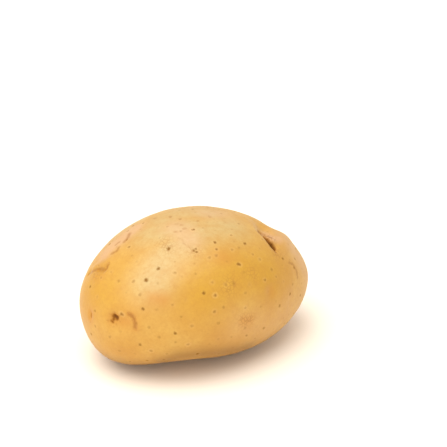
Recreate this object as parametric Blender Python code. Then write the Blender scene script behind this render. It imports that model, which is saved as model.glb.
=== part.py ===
"""A whole potato, one solid tuber lying on a small flat spot.

X runs along the tuber, from its fuller stem end (-X) to its narrower rose end (+X).
Y is across it and Z is up. The origin is the middle of its footprint, at the level
of the flat spot. Sizes are in millimetres until the mesh is written in metres.
"""
import math

import bmesh
import bpy
import numpy as np
from mathutils import Vector

MM = 0.001

# The tuber's length, and how blunt its ends are (1 would be an ellipse, less is blunter).
LENGTH = 94.0
BLUNTNESS = 0.90

# Its cross-section at five places from the stem end to the rose end: half of the width,
# and the height of the upper and the lower half. Between them each follows a smooth curve.
STATIONS = (-1.0, -0.5, 0.0, 0.5, 1.0)
HALF_WIDTHS = (33.0, 34.5, 33.5, 31.0, 27.0)
UPPER_HALVES = (29.0, 31.0, 31.5, 28.5, 25.0)
LOWER_HALVES = (28.0, 25.0, 23.5, 22.5, 22.0)

# A cross-section is slightly squarer than an ellipse (2 would be an ellipse).
SQUARENESS = 2.15

# Where the tuber grew fuller or stayed hollow: which way from its middle,
# how wide the place is in degrees, and how far it stands out (+) or in (-).
SWELLINGS = (
    ((-0.80, -0.12, -0.58), 23.0, 2.8),
    ((-0.35, -0.50, -0.79), 22.0, -2.6),
    ((0.40, -0.60, -0.69), 28.0, 1.5),
    ((0.20, 0.40, 0.85), 35.0, 0.5),
    ((0.78, 0.07, 0.62), 9.0, -2.2),
    ((0.92, -0.18, 0.34), 16.0, -1.2),
)

# The flat spot that it rests on is this deep a cut into the round underside.
FLAT_SPOT_DEPTH = 0.5

BALL_SUBDIVISIONS = 5

SKIN_COLOUR = (0.74, 0.43, 0.11, 1.0)
SKIN_ROUGHNESS = 0.5


def clear_scene():
    for item in list(bpy.data.objects):
        bpy.data.objects.remove(item)


def smooth_curve(values):
    """The smooth curve through one value at each station."""
    return np.polynomial.Polynomial.fit(STATIONS, values, len(STATIONS) - 1)


HALF_WIDTH = smooth_curve(HALF_WIDTHS)
UPPER_HALF = smooth_curve(UPPER_HALVES)
LOWER_HALF = smooth_curve(LOWER_HALVES)


def on_cross_section(direction):
    """The point of the plain tuber that lies in this direction from its middle."""
    along = direction.x
    taper = (1.0 - along * along) ** (BLUNTNESS / 2.0) if abs(along) < 1.0 else 0.0
    turn = math.atan2(direction.z, direction.y)
    across = math.cos(turn)
    up = math.sin(turn)
    squared = (abs(across) ** SQUARENESS + abs(up) ** SQUARENESS) ** (-1.0 / SQUARENESS)
    height = UPPER_HALF(along) if up > 0.0 else LOWER_HALF(along)
    return Vector((
        LENGTH / 2.0 * along,
        HALF_WIDTH(along) * taper * squared * across,
        height * taper * squared * up,
    ))


def swelling(direction):
    """How far the skin stands out in this direction, over the plain tuber."""
    total = 0.0
    for middle, width, height in SWELLINGS:
        angle = math.degrees(direction.angle(Vector(middle)))
        total += height * math.exp(-(angle / width) ** 2)
    return total


def outward(direction):
    """The way the plain tuber's skin faces, near enough for a low swelling."""
    facing = Vector((
        direction.x / LENGTH * 2.0,
        direction.y / max(HALF_WIDTHS),
        direction.z / max(UPPER_HALVES),
    ))
    return facing.normalized()


def cut_flat_spot(bm):
    """Cut the round underside away level, and close the cut with one flat face."""
    lowest = min(vertex.co.z for vertex in bm.verts)
    level = lowest + FLAT_SPOT_DEPTH
    cut = bmesh.ops.bisect_plane(
        bm,
        geom=bm.verts[:] + bm.edges[:] + bm.faces[:],
        plane_co=(0.0, 0.0, level),
        plane_no=(0.0, 0.0, 1.0),
        clear_inner=True,
    )
    rim = [item for item in cut["geom_cut"] if isinstance(item, bmesh.types.BMEdge)]
    bmesh.ops.edgeloop_fill(bm, edges=rim)
    return level


def set_on_origin(bm, level):
    """Bring the middle of the footprint to the origin, and millimetres to metres."""
    xs = [vertex.co.x for vertex in bm.verts]
    ys = [vertex.co.y for vertex in bm.verts]
    middle = Vector(((min(xs) + max(xs)) / 2.0, (min(ys) + max(ys)) / 2.0, level))
    bmesh.ops.translate(bm, verts=bm.verts, vec=-middle)
    bmesh.ops.scale(bm, verts=bm.verts, vec=(MM, MM, MM))


def skin_material():
    material = bpy.data.materials.new("potato skin")
    material.use_nodes = True
    shader = material.node_tree.nodes["Principled BSDF"]
    shader.inputs["Base Color"].default_value = SKIN_COLOUR
    shader.inputs["Roughness"].default_value = SKIN_ROUGHNESS
    shader.inputs["Metallic"].default_value = 0.0
    return material


def build_potato():
    bm = bmesh.new()
    bmesh.ops.create_icosphere(bm, subdivisions=BALL_SUBDIVISIONS, radius=1.0)
    for vertex in bm.verts:
        direction = vertex.co.normalized()
        vertex.co = on_cross_section(direction) + outward(direction) * swelling(direction)
    level = cut_flat_spot(bm)
    set_on_origin(bm, level)
    bmesh.ops.recalc_face_normals(bm, faces=bm.faces)
    mesh = bpy.data.meshes.new("potato")
    bm.to_mesh(mesh)
    bm.free()
    mesh.shade_smooth()
    mesh.materials.append(skin_material())
    potato = bpy.data.objects.new("potato", mesh)
    bpy.context.scene.collection.objects.link(potato)


clear_scene()
build_potato()
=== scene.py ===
import math
import random

import bpy
import numpy as np
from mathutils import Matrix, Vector
from mathutils.bvhtree import BVHTree


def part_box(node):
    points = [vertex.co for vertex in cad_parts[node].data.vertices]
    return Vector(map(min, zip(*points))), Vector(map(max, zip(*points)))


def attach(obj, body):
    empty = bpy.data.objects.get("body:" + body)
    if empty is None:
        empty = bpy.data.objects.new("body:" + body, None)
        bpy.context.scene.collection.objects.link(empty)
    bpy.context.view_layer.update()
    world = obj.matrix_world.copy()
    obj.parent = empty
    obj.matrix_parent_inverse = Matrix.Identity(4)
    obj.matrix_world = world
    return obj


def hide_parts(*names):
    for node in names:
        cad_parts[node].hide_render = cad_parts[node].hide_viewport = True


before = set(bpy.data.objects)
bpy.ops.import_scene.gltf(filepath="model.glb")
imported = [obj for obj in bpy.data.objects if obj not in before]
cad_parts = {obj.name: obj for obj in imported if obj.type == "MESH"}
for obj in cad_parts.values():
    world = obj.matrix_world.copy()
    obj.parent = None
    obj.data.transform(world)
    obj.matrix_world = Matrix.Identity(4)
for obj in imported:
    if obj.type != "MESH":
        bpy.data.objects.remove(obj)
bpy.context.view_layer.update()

# ---- The tuber's skin ------------------------------------------------------------
# A potato is one swollen stem: firm flesh under a thin, smooth skin of cork, with no
# seam anywhere. It grew in loose soil, so it is an uneven oval with soft lumps and dents.

MM = 0.001
low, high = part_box("potato")
heart = (low + high) / 2.0
spread = high - low

# The ball that is shrunk onto the form: cuts along a side of its cube, then levels of halving.
CAGE_CUTS = 31
CAGE_TO_SKIN = 2
CAGE_SIDE = 2.0 * MM
WELD_DISTANCE = 0.01 * MM

bpy.ops.object.select_all(action="DESELECT")
bpy.ops.mesh.primitive_cube_add(size=CAGE_SIDE, location=heart)
skin = bpy.context.object
skin.name = "skin"
skin.data.name = "skin"
bpy.ops.object.transform_apply(location=True, rotation=True, scale=True)
bpy.ops.object.mode_set(mode="EDIT")
bpy.ops.mesh.subdivide(number_cuts=CAGE_CUTS)
bpy.ops.transform.tosphere(value=1.0)
bpy.ops.object.mode_set(mode="OBJECT")
ball_radius = max((vertex.co - heart).length for vertex in skin.data.vertices)
bpy.ops.object.mode_set(mode="EDIT")
bpy.ops.mesh.select_all(action="SELECT")
bpy.ops.transform.resize(value=spread / (2.0 * ball_radius), center_override=heart)
bpy.ops.object.mode_set(mode="OBJECT")

# The tuber's plain form is a copy of its solid, with the loose triangles joined.
bpy.ops.object.select_all(action="DESELECT")
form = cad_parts["potato"].copy()
form.data = form.data.copy()
bpy.context.scene.collection.objects.link(form)
form.select_set(True)
bpy.context.view_layer.objects.active = form
bpy.ops.object.mode_set(mode="EDIT")
bpy.ops.mesh.select_all(action="SELECT")
bpy.ops.mesh.remove_doubles(threshold=WELD_DISTANCE)
bpy.ops.object.mode_set(mode="OBJECT")


def only(piece):
    """Select this piece alone, as the one that the next tools work on."""
    bpy.ops.object.select_all(action="DESELECT")
    piece.select_set(True)
    bpy.context.view_layer.objects.active = piece


def finish_with(piece, kind, **settings):
    """Put one modifier on a piece and apply it."""
    only(piece)
    modifier = piece.modifiers.new(kind.lower(), kind)
    for name, value in settings.items():
        setattr(modifier, name, value)
    bpy.ops.object.modifier_apply(modifier=modifier.name)


finish_with(skin, "SHRINKWRAP", target=form, wrap_method="NEAREST_SURFACEPOINT")
finish_with(skin, "SUBSURF", levels=CAGE_TO_SKIN, render_levels=CAGE_TO_SKIN)
bpy.data.objects.remove(form)

# Soft lumps a thumb wide, within half a millimetre of the form and more in than out, then
# the finer unevenness that shows where light grazes the skin. In millimetres.
UNEVENNESS = (
    # name, width, octaves, height, level
    ("soft lumps", 17.0, 1, 0.7, 0.6),
    ("fine unevenness", 3.5, 2, 0.14, 0.5),
)
for name, width, octaves, height, level in UNEVENNESS:
    clouds = bpy.data.textures.new(name, "CLOUDS")
    clouds.noise_scale = width * MM
    clouds.noise_depth = octaves
    finish_with(
        skin, "DISPLACE", texture=clouds, texture_coords="LOCAL",
        strength=height * MM, mid_level=level,
    )

# Its weight has flattened the spot that it rests on.
FLAT_SPOT_DEPTH = 0.1 * MM
heights = np.array([vertex.co.z for vertex in skin.data.vertices])
only(skin)
bpy.ops.object.mode_set(mode="EDIT")
bpy.ops.mesh.select_mode(type="VERT")
bpy.ops.mesh.select_all(action="DESELECT")
bpy.ops.object.mode_set(mode="OBJECT")
skin.data.vertices.foreach_set("select", heights < FLAT_SPOT_DEPTH)
bpy.ops.object.mode_set(mode="EDIT")
bpy.ops.transform.resize(value=(1.0, 1.0, 0.0), center_override=(0.0, 0.0, 0.0))
bpy.ops.object.mode_set(mode="OBJECT")

# ---- Eyes, scar and dents ---------------------------------------------------------
# An eye is a dormant bud in a small pit under a curved brow of skin. The scar is where
# the skin split while the tuber swelled, and healed as a dark slit with a raised lip.

smooth_skin = BVHTree.FromObject(skin, bpy.context.evaluated_depsgraph_get())
points = np.zeros(len(skin.data.vertices) * 3)
skin.data.vertices.foreach_get("co", points)
points = points.reshape(-1, 3)


def towards(bearing, lift):
    """The way from the heart: bearing 0 is the narrow end and 90 the back, lift is up."""
    turn = math.radians(bearing)
    rise = math.radians(lift)
    level = math.cos(rise)
    return Vector((level * math.cos(turn), level * math.sin(turn), math.sin(rise)))


def on_skin(bearing, lift):
    """The place on the skin that lies this way from the heart, in metres."""
    return smooth_skin.ray_cast(heart, towards(bearing, lift))[0]


def distance_mm(line):
    """How far each point of the smooth skin is from a line through these places."""
    places = [np.array(on_skin(bearing, lift)) for bearing, lift in line]
    nearest = np.linalg.norm(points - places[0], axis=1)
    for start, end in zip(places, places[1:]):
        run = end - start
        share = np.clip((points - start) @ run / (run @ run), 0.0, 1.0)
        away = points - start - share[:, None] * run
        nearest = np.minimum(nearest, np.linalg.norm(away, axis=1))
    return nearest / MM


def push_skin(height, reach, *lines, width=0.4):
    """Raise the skin along these lines, or press it in, dying away over the reach, in mm."""
    near = np.minimum.reduce([distance_mm(line) for line in lines])
    only(skin)
    bpy.ops.object.mode_set(mode="EDIT")
    bpy.ops.mesh.select_mode(type="VERT")
    bpy.ops.mesh.select_all(action="DESELECT")
    bpy.ops.object.mode_set(mode="OBJECT")
    skin.data.vertices.foreach_set("select", near <= width)
    bpy.ops.object.mode_set(mode="EDIT")
    bpy.ops.transform.shrink_fatten(
        value=height * MM,
        use_proportional_edit=True,
        proportional_edit_falloff="SMOOTH",
        proportional_size=reach * MM,
    )
    bpy.ops.object.mode_set(mode="OBJECT")


# The eye at the stem end: two bud scars in a shallow hollow, with a few short wrinkles
# that run into it, under a curved brow.
STEM_EYE_PIT = ((-160.4, 2.0), (-159.4, 1.6))
STEM_EYE_SECOND_PIT = ((-161.8, -0.5), (-160.9, -0.9))
STEM_EYE_BROW = ((-152.5, 5.2), (-151, 4.9), (-149.8, 3.6), (-149, 1.5), (-148.8, -1))
STEM_EYE_RIDGE = ((-152, 8), (-148.5, 7), (-146, 3.5), (-145.5, -1))
STEM_EYE_WRINKLES = (
    ((-162.2, 2.6), (-163.2, 3.1)), ((-160.2, 3.4), (-160.5, 4.5)),
    ((-158.2, 2.6), (-157.5, 3.5)), ((-157.8, 0.6), (-156.8, 0.3)),
    ((-159, -1), (-158.5, -2)), ((-163, -0.4), (-164, -0.7)),
)
push_skin(-0.8, 6.0, ((-159.5, 0.5), (-158, 0)))
push_skin(-0.3, 3.0, ((-154.5, 1.5), (-152.5, 2.0), (-151.5, -0.5)))
push_skin(0.25, 4.0, STEM_EYE_RIDGE)
push_skin(-0.25, 1.3, STEM_EYE_BROW)
push_skin(-1.0, 1.9, STEM_EYE_PIT)
push_skin(-0.25, 1.6, STEM_EYE_SECOND_PIT)

# The eye over the stem end, folded shut under a crease.
FOLDED_EYE = ((175.5, 16.8), (178, 18), (180, 19))
FOLD = ((167, 11), (170.5, 14), (173, 16), (175, 17.4), (177.6, 18.6), (180, 19.3))
FOLD_END = ((179.5, 22.5), (180, 19.5))
push_skin(0.4, 3.0, ((170, 15), (174, 20), (177, 23)))
push_skin(-0.45, 1.8, FOLD)
push_skin(-0.35, 1.2, FOLDED_EYE, FOLD_END)

# The healed split near the narrow end, the dent behind it and the hump beside it.
SPLIT = ((-23.5, 37.4), (-27, 35), (-29.8, 32.7), (-31.7, 30.2), (-33, 27.8))
SPLIT_UPPER_EDGE = ((-24.5, 36.8), (-27, 35), (-29.8, 32.7))
SPLIT_MOUTH = ((-32, 29.4), (-33, 27.5))
SPLIT_TAIL = ((-33.4, 26), (-36, 25.2))
SPLIT_SHORT = ((-18.5, 38), (-19, 36.2), (-21, 34.2))
push_skin(-0.8, 4.4, ((-21, 36), (-12, 35.5)))
push_skin(-0.6, 6.5, ((-17, 36), (-6, 36.5)))
push_skin(0.9, 7.0, ((-19, 22), (-9, 20)))
push_skin(-0.6, 3.4, SPLIT)
push_skin(0.45, 2.0, ((-22, 35), (-25, 32.5), (-28, 29.5)))
push_skin(-1.1, 1.3, SPLIT)
push_skin(-0.7, 1.4, SPLIT_MOUTH)
push_skin(-0.4, 1.1, SPLIT_SHORT, SPLIT_TAIL)


def eye_at(bearing, lift, turn):
    """The pit and the brow of a plain eye here, its brow turned this far from straight up."""
    swing = math.radians(turn)

    def near_by(aside, above):
        along = aside * math.cos(swing) + above * math.sin(swing)
        rise = above * math.cos(swing) - aside * math.sin(swing)
        return (bearing + along / math.cos(math.radians(lift)), lift + rise)

    pit = (near_by(-1.2, 0), near_by(1, 0.2))
    arch = ((-4.5, 1.2), (-3, 3), (0, 4.2), (3.2, 3), (4.8, 0.8))
    brow = tuple(near_by(aside, above) for aside, above in arch)
    return pit, brow


# The plain eyes of the other sides. Most stand at the narrow end, as on any potato.
PLAIN_EYES = (
    eye_at(6, 12, 10), eye_at(24, -14, -40), eye_at(-6, -22, 160), eye_at(48, 30, 20),
    eye_at(92, 12, -15), eye_at(138, -8, 30), eye_at(112, 24, -10), eye_at(-72, -46, 150),
)
PITS = [pit for pit, brow in PLAIN_EYES]
BROWS = [brow for pit, brow in PLAIN_EYES]
push_skin(-0.8, 5.5, *PITS)
push_skin(0.2, 1.8, *BROWS)
push_skin(-0.9, 1.6, *PITS)

# A blind eye beside the first one, and a shallow dimple on the front.
BLIND_EYE = ((-174.8, -1.5), (-174.8, -3.0))
push_skin(-0.45, 2.2, BLIND_EYE)
push_skin(-0.4, 3.6, ((-61, 7.3),))


def write_on_skin(name, values):
    """Keep one number for each point of the skin, for its material to read."""
    layer = skin.data.attributes.new(name, "FLOAT", "POINT")
    layer.data.foreach_set("value", np.asarray(values, dtype=np.float32))


# Short cracks on the top, where the skin stretched.
DASHES = (
    ((178, 76), (174, 75.5)), ((155, 69.5), (150, 69)), ((150, 58), (146.5, 58.5)),
    ((-108, 81), (-114, 80)), ((-28, 79), (-34, 79.5)), ((-165, 70), (-168, 69)),
    ((-150, 62), (-152, 61.5)), ((-140, 68), (-143, 67)), ((-152, 71), (-156, 70.5)),
)


def outside(lines):
    """How far each point is outside the nearest line, given with its half width in mm."""
    return np.minimum.reduce([distance_mm(line) - half_width for line, half_width in lines])


# Distance to the pits of the eyes and the split, which the material draws dark, partly as
# painted shade.
write_on_skin("pit_mm", outside((
    (STEM_EYE_PIT, 0.55),
    (STEM_EYE_SECOND_PIT, 0.0),
    (((-160.4, 1.6), (-161.2, -0.4)), 0.0),
    (BLIND_EYE, -0.25),
    (SPLIT, 0.5),
    (SPLIT_UPPER_EDGE, 0.65),
    (SPLIT_MOUTH, 0.8),
    *((pit, 0.5) for pit in PITS),
)))
# Distance to the creases, cracks and brows, which the material draws brown, partly as painted
# shade.
write_on_skin("crease_mm", outside((
    (STEM_EYE_BROW, 0.45),
    (FOLD, 0.3),
    (FOLD_END, 0.25),
    (SPLIT_TAIL, 0.35),
    (SPLIT_SHORT, 0.4),
    (((-22.5, 33.5), (-25, 31)), 0.3),
    (((161.7, 40.2), (167.6, 38.3), (169.9, 35.9)), 0.35),
    (((172.5, 31.6), (175.2, 29.6), (173.1, 27.0)), 0.25),
    (((165.4, 32.9), (166, 30.9)), 0.15),
    (((-33.2, 14), (-30.7, 11.1), (-30.9, 7.1), (-32.6, 3.5)), 0.1),
    (((-141, 57), (-136, 56), (-132, 52.5), (-126, 50.5), (-121.5, 47)), -0.3),
    *((dash, 0.0) for dash in DASHES),
    *((wrinkle, -0.3) for wrinkle in STEM_EYE_WRINKLES),
    *((brow, 0.1) for brow in BROWS),
)))

# ---- Lenticels --------------------------------------------------------------------
# The skin breathes through lenticels, small corky pores that stand out as brown dots,
# most of them round and 0.4 to 1.3 mm across. Some have a paler ring of stretched skin.

# The ones that stand out and the faint ones: bearing, lift and width over the soft edge in mm.
DARK_LENTICELS = (
    (-144.7, 45.9, 1.6), (-59, 44.3, 1.4), (-145, 31.5, 1.3), (-149.5, 23.5, 1.6),
    (-112.5, 19, 1.3), (-117, -21.5, 1.4), (-124, 68, 1.3), (-93.5, 54, 1.3),
    (-80.5, 33.5, 1.2), (-79.5, 33, 1.2), (-129, -3.5, 1.2), (-146, 9, 1.0),
    (-120, 47.5, 1.0), (-118, 49, 0.9), (-117, 46.5, 0.9), (-95, 48, 1.0),
    (-44, -1.5, 1.1), (-55, -5, 1.1), (178, 9, 1.2),
)
FAINT_LENTICELS = (
    (-98, 43, 1.2), (-105, 42, 1.1), (-129, -9, 1.0), (-137, -5.5, 1.1),
    (-100, 8.5, 1.2), (-39.5, 2.5, 1.1), (-120, 0, 1.1), (-158, -15.5, 1.0),
    (-85, -10, 1.2), (-104, -1, 1.2), (-104, -12, 1.0), (-131, 12.5, 0.9),
    (-165, 18.5, 1.2), (-156.5, 21, 1.3), (-142, 0, 1.1), (-171, -6, 1.0),
    (-162, -8.5, 1.1), (-58, 29.5, 1.1), (-53, 19.5, 1.3), (-96, 22, 1.1),
    (-106, 25, 1.0), (-90, 22, 1.3), (-173, 63, 0.9), (-163, 52, 0.9),
    (146, 57, 0.8), (153, 70, 1.0), (180, 75.5, 1.2), (-20, 80, 0.9),
    (3, 67, 1.0), (-53, 59, 0.9),
)
DOT_OF_WIDTH = 0.8
DARK_TONE = 0.85
FAINT_TONE = 0.4

# The rest are scattered, tiny and pale as a rule, and tried this often at a usual spacing.
LENTICEL_SPACING = 6.0
TRIES = 2600
MOST_SQUASHED = 0.22

chance = random.Random(11)
lenticels = []
for placed, tone in ((DARK_LENTICELS, DARK_TONE), (FAINT_LENTICELS, FAINT_TONE)):
    for bearing, lift, width in placed:
        lenticels.append((on_skin(bearing, lift), width * DOT_OF_WIDTH, tone))
for attempt in range(TRIES):
    bearing = chance.uniform(-180.0, 180.0)
    lift = math.degrees(math.asin(chance.uniform(-1.0, 1.0)))
    gap = chance.uniform(0.45, 1.5) * LENTICEL_SPACING * MM
    place = on_skin(bearing, lift)
    if all((place - other).length > gap for other, _, _ in lenticels):
        tone = chance.random() ** 2
        width = 0.4 + 0.35 * chance.random() + 0.35 * tone
        lenticels.append((place, width, 0.15 + 0.6 * tone))

nearest_edge = np.full(len(points), LENTICEL_SPACING)
nearest_tone = np.zeros(len(points))
nearest_ring = np.zeros(len(points))
for place, width, tone in lenticels:
    away = (points - np.array(place)) / MM
    grain = Vector([chance.uniform(-1.0, 1.0) for axis in range(3)]).normalized()
    squash = np.outer(away @ np.array(grain), np.array(grain))
    away -= squash * chance.uniform(0.0, MOST_SQUASHED)
    edge_mm = np.linalg.norm(away, axis=1) - width / 2.0
    ring = chance.random() ** 2
    nearer = edge_mm < nearest_edge
    nearest_edge[nearer] = edge_mm[nearer]
    nearest_tone[nearer] = tone
    nearest_ring[nearer] = ring * tone
write_on_skin("lenticel_mm", nearest_edge)
write_on_skin("lenticel_tone", nearest_tone)
write_on_skin("lenticel_ring", nearest_ring)

# ---- Scuffs and stains ------------------------------------------------------------
# Lifting and washing rub the skin thin along its high edges, where it dries to a
# pinkish buff. Around the eyes it is a warmer, orange brown.


def patches(places):
    """A soft mask, from each patch's line, its half width in mm and its strength there."""
    mask = np.zeros(len(points))
    for line, width, strength in places:
        mask = np.maximum(mask, strength * np.exp(-(distance_mm(line) / width) ** 2))
    return mask


# Worn skin, mostly on the high edges, and a stretched place on the top.
write_on_skin("scuff", patches((
    (((157, 43), (163, 35), (165, 28), (167, 24)), 3.8, 1.3),
    (((-160, 66), (-139, 64), (-128, 58)), 5.0, 0.7),
    (((10, 80), (3, 66)), 5.0, 0.5),
    (((-24, 30), (-22, 26)), 2.6, 1.0),
    (((-20.5, 33.5), (-24, 30.5)), 2.4, 1.4),
    (((-17, 22), (-21, 8)), 6.0, 0.6),
    (((-88, -8), (-66, -15), (-48, -12)), 8.0, 0.3),
    (((120, 10), (100, 18), (80, 14)), 8.0, 0.8),
    (((20, -5), (40, 5)), 6.0, 0.6),
)))
# Orange brown around the eyes, the split and a few bruises.
write_on_skin("warm", patches((
    (((-156, 1), (-153, 1.5)), 2.4, 0.8),
    (STEM_EYE_BROW, 1.5, 0.8),
    (((-160.5, 0.8),), 2.4, 1.0),
    (((-20, 33),), 1.6, 0.4),
    (((-174.8, -1), (-174.8, -4)), 2.0, 0.9),
    (((176, 15), (-178, 16)), 2.6, 0.5),
    (((-61, 7),), 2.2, 0.6),
    (((-95, 42), (-90, 40)), 3.2, 0.6),
    (((-142, 15.5), (-136, 14.5)), 2.6, 0.8),
    (SPLIT, 1.4, 0.6),
    (((-85, -4), (-82, -5)), 2.2, 0.7),
    (((140, -20),), 4.0, 0.8),
    (((60, 35),), 3.5, 0.7),
)))
# Deeper gold, where the skin is thinnest over the flesh.
write_on_skin("ochre", patches((
    (((-116, 20), (-99, 27), (-74, 27), (-58, 20)), 11.0, 1.0),
    (((30, 40), (60, 20), (80, -10)), 13.0, 0.8),
    (((160, -10), (140, 15)), 9.0, 0.6),
    (((-162, 22), (-170, 12), (176, 10)), 9.0, 0.8),
    (((174, 14.5), (180, 15.5)), 2.8, 1.3),
)))
# A darker band low on the front and the back, just above the underside.
write_on_skin("soil", patches((
    (((-138, -25), (-128, -21), (-115, -22), (-100, -26), (-78, -30)), 4.5, 0.8),
    (((150, -30), (110, -28), (60, -30)), 6.0, 0.8),
)))
# Paler, straw-coloured skin on the top: partly the skin's own colour, partly a painted
# highlight.
write_on_skin("pale", patches((
    (((-146, 24), (-145, 38), (-132, 56), (-104, 68), (-50, 61)), 8.5, 1.0),
    (((-175, 52), (-158, 60), (-128, 70)), 9.0, 1.0),
    (((165, 62), (140, 72), (20, 78)), 8.0, 0.9),
    (((100, 40), (140, 30)), 10.0, 0.8),
)))
# Places where the cork is plainly netted.
write_on_skin("netting", patches((
    (((-86, -4), (-81.5, -5)), 2.2, 1.0),
    (((177, 15),), 2.4, 0.8),
    (((-95, 20), (-92, 22)), 3.0, 0.7),
    (((-119, 47),), 2.5, 0.6),
    (((-154, 50), (-146, 47)), 2.8, 0.7),
    (((-72, 25), (-70, 22)), 2.5, 0.5),
    (((-37, 24),), 2.5, 0.9),
    (((-21, 34), (-25, 30.5)), 1.8, 1.4),
    (((110, 0), (95, -8)), 5.0, 0.9),
    (((40, 60),), 4.0, 0.8),
)))

# ---- Skin material ----------------------------------------------------------------
# Washed potato skin: a few layers of cork over yellow flesh, thin enough that the flesh
# tints it gold. It reads as matt with a soft waxy sheen, mottled and dotted with pores.


def colour(text):
    """An sRGB hex colour as the linear one that the shader takes."""
    linear = []
    for start in (1, 3, 5):
        part = int(text[start:start + 2], 16) / 255.0
        linear.append(part / 12.92 if part <= 0.04045 else ((part + 0.055) / 1.055) ** 2.4)
    return linear + [1.0]


def add(tree, kind, inputs, stops=(), **settings):
    """One node, with its settings, the stops of its ramp, and values or links on its inputs."""
    node = tree.nodes.new(kind)
    for name, value in settings.items():
        setattr(node, name, value)
    for index, (position, value) in enumerate(stops):
        elements = node.color_ramp.elements
        element = elements[index] if index < len(elements) else elements.new(position)
        element.position = position
        element.color = value
    for name, value in inputs.items():
        if isinstance(value, bpy.types.NodeSocket):
            tree.links.new(value, node.inputs[name])
        else:
            node.inputs[name].default_value = value
    return node.outputs


material = bpy.data.materials.new("washed potato skin")
material.use_nodes = True
tree = material.node_tree
tree.nodes.clear()

# A Mix node has its sockets for numbers and for colours side by side, under the same names.
SHARE, BENEATH, ABOVE, MIXED = 0, 6, 7, 2
NUMBER_BENEATH, NUMBER_ABOVE, MIXED_NUMBER = 2, 3, 0

# Everything below is drawn in millimetres.
place = add(tree, "ShaderNodeTexCoord", {})["Object"]
place = add(tree, "ShaderNodeMapping", {
    "Vector": place, "Scale": (1 / MM, 1 / MM, 1 / MM),
})["Vector"]

# Broad drifts of gold and straw.
DRIFT_WIDTH = 20.0
drift = add(tree, "ShaderNodeTexNoise", {
    "Vector": place, "Scale": 1 / DRIFT_WIDTH, "Detail": 2.0,
})["Fac"]
base = add(tree, "ShaderNodeValToRGB", {"Fac": drift}, stops=(
    (0.30, colour("#b98734")),
    (0.50, colour("#c0913c")),
    (0.70, colour("#c59b49")),
))["Color"]
ochre = add(tree, "ShaderNodeAttribute", {}, attribute_name="ochre")["Fac"]
ochre = add(tree, "ShaderNodeMath", {0: ochre, 1: 0.75}, operation="MULTIPLY")["Value"]
base = add(tree, "ShaderNodeMix", {
    SHARE: ochre, BENEATH: base, ABOVE: colour("#bb8d20"),
}, data_type="RGBA")[MIXED]
# The top is mixed towards pale straw: partly the skin's own colour, partly a painted highlight.
pale = add(tree, "ShaderNodeAttribute", {}, attribute_name="pale")["Fac"]
pale = add(tree, "ShaderNodeMath", {0: pale, 1: 0.85}, operation="MULTIPLY")["Value"]
base = add(tree, "ShaderNodeMix", {
    SHARE: pale, BENEATH: base, ABOVE: colour("#bba46e"),
}, data_type="RGBA")[MIXED]

# Mottling, in ragged patches and in finer ones.
MOTTLE_WIDTH = 3.5
GRAIN_WIDTH = 1.1
mottle = add(tree, "ShaderNodeTexNoise", {
    "Vector": place, "Scale": 1 / MOTTLE_WIDTH, "Detail": 3.0, "Roughness": 0.6,
})["Fac"]
mottle = add(tree, "ShaderNodeMapRange", {
    "Value": mottle, "From Min": 0.35, "From Max": 0.72, "To Max": 0.4,
})["Result"]
base = add(tree, "ShaderNodeMix", {
    SHARE: mottle, BENEATH: base, ABOVE: colour("#b27e2e"),
}, data_type="RGBA")[MIXED]
grain = add(tree, "ShaderNodeTexNoise", {
    "Vector": place, "Scale": 1 / GRAIN_WIDTH, "Detail": 2.0,
})["Fac"]
grain = add(tree, "ShaderNodeMapRange", {
    "Value": grain, "From Min": 0.45, "From Max": 0.75, "To Max": 0.22,
})["Result"]
base = add(tree, "ShaderNodeMix", {
    SHARE: grain, BENEATH: base, ABOVE: colour("#a9762a"),
}, data_type="RGBA")[MIXED]

# Worn, drier skin, frayed at its border.
FRAY_WIDTH = 2.5
scuff = add(tree, "ShaderNodeAttribute", {}, attribute_name="scuff")["Fac"]
worn = add(tree, "ShaderNodeTexNoise", {
    "Vector": place, "Scale": 1 / FRAY_WIDTH, "Detail": 4.0, "Roughness": 0.6,
})["Fac"]
worn = add(tree, "ShaderNodeMath", {0: worn, 1: 0.6}, operation="ADD")["Value"]
worn = add(tree, "ShaderNodeMath", {
    0: worn, 1: scuff,
}, operation="MULTIPLY", use_clamp=True)["Value"]
worn = add(tree, "ShaderNodeMath", {0: worn, 1: 0.6}, operation="MULTIPLY")["Value"]
base = add(tree, "ShaderNodeMix", {
    SHARE: worn, BENEATH: base, ABOVE: colour("#c69f7a"),
}, data_type="RGBA")[MIXED]

# Orange brown around the eyes.
warm = add(tree, "ShaderNodeAttribute", {}, attribute_name="warm")["Fac"]
warm = add(tree, "ShaderNodeMath", {0: warm, 1: 0.7}, operation="MULTIPLY")["Value"]
base = add(tree, "ShaderNodeMix", {
    SHARE: warm, BENEATH: base, ABOVE: colour("#b87d2c"),
}, data_type="RGBA")[MIXED]

# The underside is painted darker towards the floor, as painted shade under the tuber, and the
# low band above it is darkened with it.
SHADE_TOP = 13.0
SHADE_FULL = 3.0
height = add(tree, "ShaderNodeSeparateXYZ", {"Vector": place})["Z"]
underside_shade_and_band = add(tree, "ShaderNodeMapRange", {
    "Value": height, "From Min": SHADE_TOP, "From Max": SHADE_FULL, "To Max": 0.85,
})["Result"]
soil = add(tree, "ShaderNodeAttribute", {}, attribute_name="soil")["Fac"]
underside_shade_and_band = add(tree, "ShaderNodeMath", {0: underside_shade_and_band, 1: soil}, operation="MAXIMUM")["Value"]
base = add(tree, "ShaderNodeMix", {
    SHARE: underside_shade_and_band, BENEATH: base, ABOVE: colour("#8f651e"),
}, data_type="RGBA")[MIXED]

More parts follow.
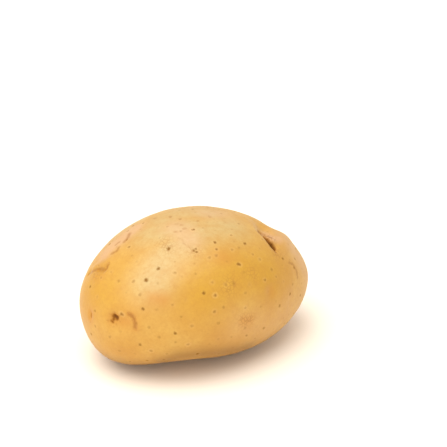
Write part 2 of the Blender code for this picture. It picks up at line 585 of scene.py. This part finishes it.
# Netting, where the cork cracked in cells: plain in a few places, faint in the rest.
CELL_WIDTH = 1.5
cells = add(tree, "ShaderNodeTexVoronoi", {
    "Vector": place, "Scale": 1 / CELL_WIDTH,
}, feature="DISTANCE_TO_EDGE")["Distance"]
cells = add(tree, "ShaderNodeMapRange", {
    "Value": cells, "From Min": 0.14, "From Max": 0.02,
})["Result"]
netted = add(tree, "ShaderNodeAttribute", {}, attribute_name="netting")["Fac"]
netted = add(tree, "ShaderNodeMath", {
    0: netted, 1: 0.6, 2: 0.06,
}, operation="MULTIPLY_ADD")["Value"]
cells = add(tree, "ShaderNodeMath", {0: cells, 1: netted}, operation="MULTIPLY")["Value"]
base = add(tree, "ShaderNodeMix", {
    SHARE: cells, BENEATH: base, ABOVE: colour("#986527"),
}, data_type="RGBA")[MIXED]

# Lenticels: a ragged brown dot, and on some a pale ring around it.
RAG_WIDTH = 0.7
ragged = add(tree, "ShaderNodeTexNoise", {
    "Vector": place, "Scale": 1 / RAG_WIDTH, "Detail": 2.0,
})["Fac"]
ragged = add(tree, "ShaderNodeMath", {0: ragged, 1: -0.5}, operation="ADD")["Value"]
edge = add(tree, "ShaderNodeAttribute", {}, attribute_name="lenticel_mm")["Fac"]
edge = add(tree, "ShaderNodeMath", {
    0: ragged, 1: 0.9, 2: edge,
}, operation="MULTIPLY_ADD")["Value"]
ring = add(tree, "ShaderNodeMapRange", {
    "Value": edge, "From Min": 1.0, "From Max": 0.4, "To Max": 0.35,
})["Result"]
ringed = add(tree, "ShaderNodeAttribute", {}, attribute_name="lenticel_ring")["Fac"]
ring = add(tree, "ShaderNodeMath", {0: ring, 1: ringed}, operation="MULTIPLY")["Value"]
base = add(tree, "ShaderNodeMix", {
    SHARE: ring, BENEATH: base, ABOVE: colour("#d9b170"),
}, data_type="RGBA")[MIXED]
dot = add(tree, "ShaderNodeMapRange", {
    "Value": edge, "From Min": 0.35, "From Max": -0.25,
})["Result"]
tone = add(tree, "ShaderNodeAttribute", {}, attribute_name="lenticel_tone")["Fac"]
dot = add(tree, "ShaderNodeMath", {0: dot, 1: tone}, operation="MULTIPLY")["Value"]
base = add(tree, "ShaderNodeMix", {
    SHARE: dot, BENEATH: base, ABOVE: colour("#744a00"),
}, data_type="RGBA")[MIXED]

# Creases, brows and cracks drawn brown: the cork's own brown, with painted shade in the creases
# and under the brows.
crease_and_shade = add(tree, "ShaderNodeAttribute", {}, attribute_name="crease_mm")["Fac"]
crease_and_shade = add(tree, "ShaderNodeMath", {
    0: ragged, 1: 1.2, 2: crease_and_shade,
}, operation="MULTIPLY_ADD")["Value"]
crease_and_shade = add(tree, "ShaderNodeMapRange", {
    "Value": crease_and_shade, "From Min": 0.8, "From Max": -0.3, "To Max": 0.75,
})["Result"]
base = add(tree, "ShaderNodeMix", {
    SHARE: crease_and_shade, BENEATH: base, ABOVE: colour("#945e10"),
}, data_type="RGBA")[MIXED]

# The pits of the eyes and the split, brown at their edge and dark brown inside: partly the
# cork's own brown, partly painted shade in the hollows.
pit = add(tree, "ShaderNodeAttribute", {}, attribute_name="pit_mm")["Fac"]
pit = add(tree, "ShaderNodeMath", {
    0: ragged, 1: 0.45, 2: pit,
}, operation="MULTIPLY_ADD")["Value"]
pit_shade_depth = add(tree, "ShaderNodeMapRange", {
    "Value": pit, "From Min": 0.9, "From Max": -0.5,
})["Result"]
pit_cork_and_shade = add(tree, "ShaderNodeValToRGB", {"Fac": pit_shade_depth}, stops=(
    (0.0, colour("#ae7826")),
    (0.5, colour("#88540a")),
    (1.0, colour("#5e3300")),
))["Color"]
pit = add(tree, "ShaderNodeMapRange", {
    "Value": pit, "From Min": 1.0, "From Max": 0.2,
})["Result"]
base = add(tree, "ShaderNodeMix", {
    SHARE: pit, BENEATH: base, ABOVE: pit_cork_and_shade,
}, data_type="RGBA")[MIXED]

# Relief too fine for the mesh: raised pores, cracks of the netting and the cork's tooth.
TOOTH_WIDTH = 0.9
RELIEF_DEPTH = 0.15 * MM
tooth = add(tree, "ShaderNodeTexNoise", {
    "Vector": place, "Scale": 1 / TOOTH_WIDTH, "Detail": 4.0, "Roughness": 0.6,
})["Fac"]
relief = add(tree, "ShaderNodeMath", {
    0: dot, 1: 0.6, 2: tooth,
}, operation="MULTIPLY_ADD")["Value"]
relief = add(tree, "ShaderNodeMath", {
    0: cells, 1: -0.8, 2: relief,
}, operation="MULTIPLY_ADD")["Value"]
bump = add(tree, "ShaderNodeBump", {
    "Height": relief, "Distance": RELIEF_DEPTH, "Strength": 0.3,
})["Normal"]

# The waxy sheen varies with the tooth. Cork in the pores and the pits has none.
DULL_CORK = 0.95
gloss = add(tree, "ShaderNodeMapRange", {
    "Value": tooth, "To Min": 0.36, "To Max": 0.52,
})["Result"]
dull = add(tree, "ShaderNodeMath", {0: pit, 1: dot}, operation="MAXIMUM")["Value"]
gloss = add(tree, "ShaderNodeMix", {
    SHARE: dull, NUMBER_BENEATH: gloss, NUMBER_ABOVE: DULL_CORK,
}, data_type="FLOAT")[MIXED_NUMBER]
shader = add(tree, "ShaderNodeBsdfPrincipled", {
    "Base Color": base,
    "Roughness": gloss,
    "IOR": 1.45,
    "Specular IOR Level": 0.5,
    "Normal": bump,
})["BSDF"]
add(tree, "ShaderNodeOutputMaterial", {"Surface": shader})

skin.data.materials.clear()
skin.data.materials.append(material)
only(skin)
bpy.ops.object.shade_smooth()

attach(skin, "root")
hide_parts("potato")

# ---- Floor, light and camera ------------------------------------------------------
# A sheet of white paper under a large soft light from the upper left, with two weak ones
# to lift the shade at its side and front. Seen from a little above.

FLOOR_SIDE = 6.0
bpy.ops.object.select_all(action="DESELECT")
bpy.ops.mesh.primitive_plane_add(size=FLOOR_SIDE, location=(0.0, 0.0, 0.0))
floor = bpy.context.object
floor.name = "floor"

# Uncoated paper: white with a trace of cream, and no gloss, so it shows only the soft shadow.
paper = bpy.data.materials.new("white paper")
paper.use_nodes = True
surface = paper.node_tree.nodes["Principled BSDF"].inputs
surface["Base Color"].default_value = colour("#f8f0e4")
surface["Roughness"].default_value = 0.9
surface["Specular IOR Level"].default_value = 0.0
floor.data.materials.append(paper)

world = bpy.data.worlds.new("white studio")
bpy.context.scene.world = world
world.use_nodes = True
surround = world.node_tree.nodes["Background"].inputs
surround["Color"].default_value = colour("#fff8f0")
surround["Strength"].default_value = 0.9

VIEW_BEARING = math.radians(-28.0)
VIEW_LIFT = math.radians(25.0)
VIEW_DISTANCE = 0.487
LENS = 100.0
SENSOR_WIDTH = 36.0
LOOK_AT = Vector((0.0155, 0.0075, 0.0448))

back = Vector((
    math.sin(VIEW_BEARING) * math.cos(VIEW_LIFT),
    -math.cos(VIEW_BEARING) * math.cos(VIEW_LIFT),
    math.sin(VIEW_LIFT),
))
bpy.ops.object.camera_add(location=LOOK_AT + back * VIEW_DISTANCE)
camera = bpy.context.object
camera.rotation_euler = back.to_track_quat("Z", "Y").to_euler()
camera.data.lens = LENS
camera.data.sensor_width = SENSOR_WIDTH
camera.data.clip_start = 0.01
bpy.context.scene.camera = camera


def soft_light(name, place, size, watts):
    """A square soft white light that faces the tuber."""
    bpy.ops.object.light_add(type="AREA", location=place)
    light = bpy.context.object
    light.name = name
    light.rotation_euler = (Vector(place) - heart).to_track_quat("Z", "Y").to_euler()
    light.data.size = size
    light.data.energy = watts


soft_light("overhead", (-0.42, -0.12, 1.35), 1.6, 23.0)
soft_light("front", (-0.5, -1.2, 0.3), 1.0, 1.0)
soft_light("side", (-1.2, -0.5, 0.5), 0.8, 2.0)

bpy.context.scene.view_settings.view_transform = "Standard"
